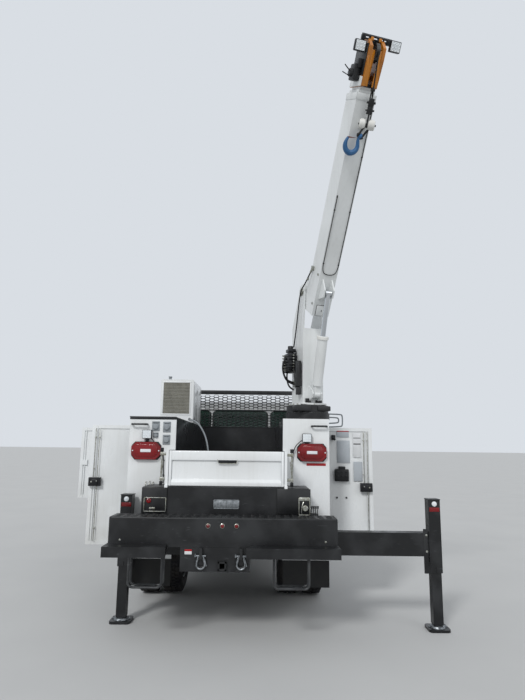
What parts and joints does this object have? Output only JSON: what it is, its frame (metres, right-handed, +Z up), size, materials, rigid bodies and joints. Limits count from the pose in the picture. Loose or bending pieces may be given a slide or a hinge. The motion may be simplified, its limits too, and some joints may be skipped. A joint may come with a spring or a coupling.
{
  "type": "mechanic's service truck with telescopic crane",
  "caption": "White mechanic's service truck with tall side compartments, a telescopic crane raised over the tail, outriggers and a workbench bumper.",
  "frame": {"origin": "centre of the whole truck's footprint, at floor level", "axes": "+Y points forward along the truck, +Z up, +X to the curb side"},
  "size_m": [4.778, 8.606, 6.1863],
  "materials": {
    "white_paint": "gloss",
    "black_paint": "satin",
    "crane_orange": "gloss",
    "blue_hook": "gloss",
    "tyre": "matte",
    "rubber": "matte",
    "glass": "clear",
    "red_lens": "gloss",
    "trim_fabric": "woven",
    "bright_steel": "satin",
    "cast_iron": "matte",
    "aluminium": "satin",
    "chrome": "polished"
  },
  "bodies": {
    "chassis": {"frame": "black_paint", "axles": "cast_iron", "engine": "cast_iron", "side_tanks": "aluminium", "cab": "white_paint", "cab_glass": "glass", "cab_interior": "trim_fabric", "front_bumper": "chrome", "cargo_bed": "black_paint", "left_compartments": "white_paint", "right_compartments": "white_paint", "tail_riser": "black_paint", "workbench": "black_paint", "outrigger_housing": "black_paint", "headache_rack": "black_paint", "power_unit": "white_paint", "tail_lamps": "red_lens", "mud_flaps": "rubber", "steps_and_handles": "bright_steel", "crane_pedestal": "black_paint"},
    "hood": {"hood": "white_paint", "grille": "black_paint"},
    "left_cab_door": {"left_cab_door": "white_paint", "left_door_glass": "glass"},
    "right_cab_door": {"right_cab_door": "white_paint", "right_door_glass": "glass"},
    "left_knuckle": {"left_knuckle": "cast_iron"},
    "right_knuckle": {"right_knuckle": "cast_iron"},
    "left_front_wheel": {"left_front_tyre": "tyre", "left_front_rim": "aluminium"},
    "right_front_wheel": {"right_front_tyre": "tyre", "right_front_rim": "aluminium"},
    "left_rear_wheels": {"left_rear_tyre": "tyre", "left_rear_rim": "aluminium"},
    "right_rear_wheels": {"right_rear_tyre": "tyre", "right_rear_rim": "aluminium"},
    "tailgate": {"tailgate": "white_paint"},
    "left_beam": {"left_beam": "black_paint"},
    "right_beam": {"right_beam": "black_paint"},
    "left_leg": {"left_leg": "black_paint"},
    "right_leg": {"right_leg": "black_paint"},
    "turret": {"turret": "white_paint"},
    "boom_base": {"boom_base": "white_paint"},
    "boom_middle": {"boom_middle": "white_paint"},
    "boom_tip": {"boom_tip": "white_paint", "boom_head": "crane_orange", "hook_block": "blue_hook"},
    "lift_barrel": {"lift_barrel": "white_paint"},
    "lift_rod": {"lift_rod": "chrome"},
    "right_rear_door": {"right_rear_door": "white_paint"},
    "right_middle_door": {"right_middle_door": "white_paint"},
    "right_front_door": {"right_front_door": "white_paint"},
    "left_rear_door": {"left_rear_door": "white_paint"},
    "left_middle_door": {"left_middle_door": "white_paint"},
    "left_front_door": {"left_front_door": "white_paint"}
  },
  "joints": [
    {"name": "hood_tilt", "type": "hinge", "parent": "chassis", "child": "hood", "pos_m": [0, 4.175, 0.8], "axis": [-1, 0, 0], "range_deg": [0, 50]},
    {"name": "right_cab_door_hinge", "type": "hinge", "parent": "chassis", "child": "right_cab_door", "pos_m": [1.014, 2.345, 1.2], "axis": [0, 0, 1], "range_deg": [0, 68]},
    {"name": "right_steering", "type": "hinge", "parent": "chassis", "child": "right_knuckle", "pos_m": [0.88, 3.325, 0.49], "axis": [0, 0, 1], "range_deg": [-32, 32]},
    {"name": "right_front_wheel_roll", "type": "hinge", "parent": "right_knuckle", "child": "right_front_wheel", "pos_m": [1.035, 3.325, 0.49], "axis": [1, 0, 0], "continuous": true},
    {"name": "right_rear_wheels_roll", "type": "hinge", "parent": "chassis", "child": "right_rear_wheels", "pos_m": [1.07, -1.425, 0.49], "axis": [1, 0, 0], "continuous": true},
    {"name": "left_cab_door_hinge", "type": "hinge", "parent": "chassis", "child": "left_cab_door", "pos_m": [-1.014, 2.345, 1.2], "axis": [0, 0, -1], "range_deg": [0, 68]},
    {"name": "left_steering", "type": "hinge", "parent": "chassis", "child": "left_knuckle", "pos_m": [-0.88, 3.325, 0.49], "axis": [0, 0, 1], "range_deg": [-32, 32]},
    {"name": "left_front_wheel_roll", "type": "hinge", "parent": "left_knuckle", "child": "left_front_wheel", "pos_m": [-1.035, 3.325, 0.49], "axis": [1, 0, 0], "continuous": true},
    {"name": "left_rear_wheels_roll", "type": "hinge", "parent": "chassis", "child": "left_rear_wheels", "pos_m": [-1.07, -1.425, 0.49], "axis": [1, 0, 0], "continuous": true},
    {"name": "right_rear_door_hinge", "type": "hinge", "parent": "chassis", "child": "right_rear_door", "pos_m": [1.209, -1.955, 1.5], "axis": [0, 0, 1], "range_deg": [-90, 0]},
    {"name": "right_middle_door_hinge", "type": "hinge", "parent": "chassis", "child": "right_middle_door", "pos_m": [1.209, -0.775, 1.5], "axis": [0, 0, 1], "range_deg": [0, 90]},
    {"name": "right_front_door_hinge", "type": "hinge", "parent": "chassis", "child": "right_front_door", "pos_m": [1.209, 0.685, 1.5], "axis": [0, 0, 1], "range_deg": [0, 90]},
    {"name": "left_rear_door_hinge", "type": "hinge", "parent": "chassis", "child": "left_rear_door", "pos_m": [-1.209, -1.955, 1.5], "axis": [0, 0, -1], "range_deg": [-90, 0]},
    {"name": "left_middle_door_hinge", "type": "hinge", "parent": "chassis", "child": "left_middle_door", "pos_m": [-1.209, -0.775, 1.5], "axis": [0, 0, -1], "range_deg": [-90, 0]},
    {"name": "left_front_door_hinge", "type": "hinge", "parent": "chassis", "child": "left_front_door", "pos_m": [-1.209, 0.685, 1.5], "axis": [0, 0, -1], "range_deg": [0, 90]},
    {"name": "tailgate_hinge", "type": "hinge", "parent": "chassis", "child": "tailgate", "pos_m": [0, -3.065, 1.506], "axis": [1, 0, 0], "range_deg": [0, 90]},
    {"name": "left_beam_slide", "type": "slide", "parent": "chassis", "child": "left_beam", "axis": [-1, 0, 0], "range_m": [0, 1.11]},
    {"name": "right_beam_slide", "type": "slide", "parent": "chassis", "child": "right_beam", "axis": [1, 0, 0], "range_m": [-1.11, 0]},
    {"name": "left_leg_slide", "type": "slide", "parent": "left_beam", "child": "left_leg", "axis": [0, 0, 1], "range_m": [0, 0.38]},
    {"name": "right_leg_slide", "type": "slide", "parent": "right_beam", "child": "right_leg", "axis": [0, 0, 1], "range_m": [0, 0.38]},
    {"name": "crane_slew", "type": "hinge", "parent": "chassis", "child": "turret", "pos_m": [0.96, -2.34, 2.34], "axis": [0, 0, 1], "range_deg": [-194, 166]},
    {"name": "boom_luff", "type": "hinge", "parent": "turret", "child": "boom_base", "pos_m": [1.00544, -2.49341, 3.87], "axis": [-0.9588, -0.284, 0], "range_deg": [-58, 17]},
    {"name": "boom_extend", "type": "slide", "parent": "boom_base", "child": "boom_middle", "axis": [0.1505, -0.5081, 0.848], "range_m": [0, 1.6]},
    {"name": "boom_tip_extend", "type": "slide", "parent": "boom_middle", "child": "boom_tip", "axis": [0.1505, -0.5081, 0.848], "range_m": [0, 1.6]},
    {"name": "lift_swing", "type": "hinge", "parent": "turret", "child": "lift_barrel", "pos_m": [1.04236, -2.61806, 2.56], "axis": [-0.9588, -0.284, 0], "range_deg": [-3.03, 10.1]},
    {"name": "lift_stroke", "type": "slide", "parent": "lift_barrel", "child": "lift_rod", "axis": [0.0894, -0.3019, 0.9491], "range_m": [-0.474, 0.1396]}
  ],
  "couplings": [
    {"joint": "left_steering", "follows": "right_steering", "ratio": 1},
    {"joint": "boom_tip_extend", "follows": "boom_extend", "ratio": 1},
    {"joint": "lift_swing", "follows": "boom_luff", "ratio": -0.1725},
    {"joint": "lift_stroke", "follows": "boom_luff", "m_per_rad": 0.46723}
  ]
}
